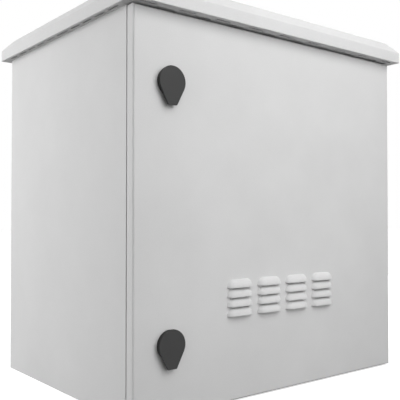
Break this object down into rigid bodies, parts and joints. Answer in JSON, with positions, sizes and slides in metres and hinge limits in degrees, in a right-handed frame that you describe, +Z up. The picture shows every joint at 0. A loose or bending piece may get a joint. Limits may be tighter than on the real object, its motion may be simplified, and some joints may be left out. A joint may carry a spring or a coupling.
{
  "type": "roadside utility cabinet",
  "caption": "Outdoor sheet-steel equipment cabinet with a louvred swing door, covered cam locks, a vented overhanging rain canopy, exhaust fans and a 19-inch rack inside.",
  "frame": {"origin": "on the ground, under the middle of the body", "axes": "+Z up, the door faces -Y, the hinges are on the +X side"},
  "size_m": [0.628, 0.486, 0.6433],
  "materials": {
    "paint": "light grey fine-texture powder coat",
    "cover_plastic": "dark grey moulded plastic, fine grain",
    "fan_plastic": "black moulded plastic",
    "rubber": "black foam rubber",
    "filter": "charcoal open-cell filter foam",
    "brass": "plain turned brass",
    "steel": "bright steel",
    "zinc": "zinc plated"
  },
  "bodies": {
    "cabinet": {"body_wrap": "paint", "front_frame": "paint", "top_plate": "paint", "bottom_tray": "paint", "roof_canopy": "paint", "canopy_bolts": "zinc", "canopy_nuts": "zinc", "upper_left_bar": "zinc", "upper_right_bar": "zinc", "lower_left_bar": "zinc", "lower_right_bar": "zinc", "front_left_rail": "zinc", "front_right_rail": "zinc", "rear_left_rail": "zinc", "rear_right_rail": "zinc", "rail_bolts": "zinc", "rail_nuts": "zinc", "left_fan_frame": "fan_plastic", "right_fan_frame": "fan_plastic", "left_fan_guard": "steel", "right_fan_guard": "steel", "fan_screws": "zinc", "gland_plate": "paint", "gland_screws": "zinc", "left_grommet": "rubber", "middle_grommet": "rubber", "right_grommet": "rubber", "earth_stud": "brass", "earth_nut": "brass", "upper_hinge_arm": "zinc", "lower_hinge_arm": "zinc", "upper_hinge_pin": "steel", "lower_hinge_pin": "steel", "hinge_screws": "zinc"},
    "door": {"door_panel": "paint", "door_gasket": "rubber", "filter_tray": "zinc", "filter_mat": "filter", "filter_studs": "zinc", "filter_nuts": "zinc", "upper_hinge_block": "zinc", "lower_hinge_block": "zinc", "door_earth_stud": "brass", "door_earth_nut": "brass", "upper_lock_body": "cover_plastic", "lower_lock_body": "cover_plastic", "upper_lock_nut": "zinc", "lower_lock_nut": "zinc"},
    "left_fan": {"left_fan_rotor": "fan_plastic"},
    "right_fan": {"right_fan_rotor": "fan_plastic"},
    "upper_cover": {"upper_lock_cover": "cover_plastic"},
    "lower_cover": {"lower_lock_cover": "cover_plastic"},
    "upper_cam": {"upper_lock_core": "steel", "upper_lock_cam": "zinc", "upper_cam_screw": "zinc"},
    "lower_cam": {"lower_lock_core": "steel", "lower_lock_cam": "zinc", "lower_cam_screw": "zinc"}
  },
  "joints": [
    {"name": "door_hinge", "type": "hinge", "parent": "cabinet", "child": "door", "pos_m": [0.2935, -0.2185, 0.301], "axis": [0, 0, 1], "range_deg": [0, 115]},
    {"name": "left_fan_spin", "type": "hinge", "parent": "cabinet", "child": "left_fan", "pos_m": [-0.1, 0.009, 0.588], "axis": [0, 0, 1], "continuous": true},
    {"name": "right_fan_spin", "type": "hinge", "parent": "cabinet", "child": "right_fan", "pos_m": [0.1, 0.009, 0.588], "axis": [0, 0, 1], "continuous": true},
    {"name": "upper_cover_swing", "type": "hinge", "parent": "door", "child": "upper_cover", "pos_m": [-0.237, -0.2285, 0.5115], "axis": [0, 1, 0], "range_deg": [-135, 135]},
    {"name": "lower_cover_swing", "type": "hinge", "parent": "door", "child": "lower_cover", "pos_m": [-0.237, -0.2285, 0.1235], "axis": [0, 1, 0], "range_deg": [-135, 135]},
    {"name": "upper_cam_turn", "type": "hinge", "parent": "door", "child": "upper_cam", "pos_m": [-0.237, -0.215, 0.494], "axis": [0, 1, 0], "range_deg": [0, 90]},
    {"name": "lower_cam_turn", "type": "hinge", "parent": "door", "child": "lower_cam", "pos_m": [-0.237, -0.215, 0.106], "axis": [0, 1, 0], "range_deg": [0, 90]}
  ]
}
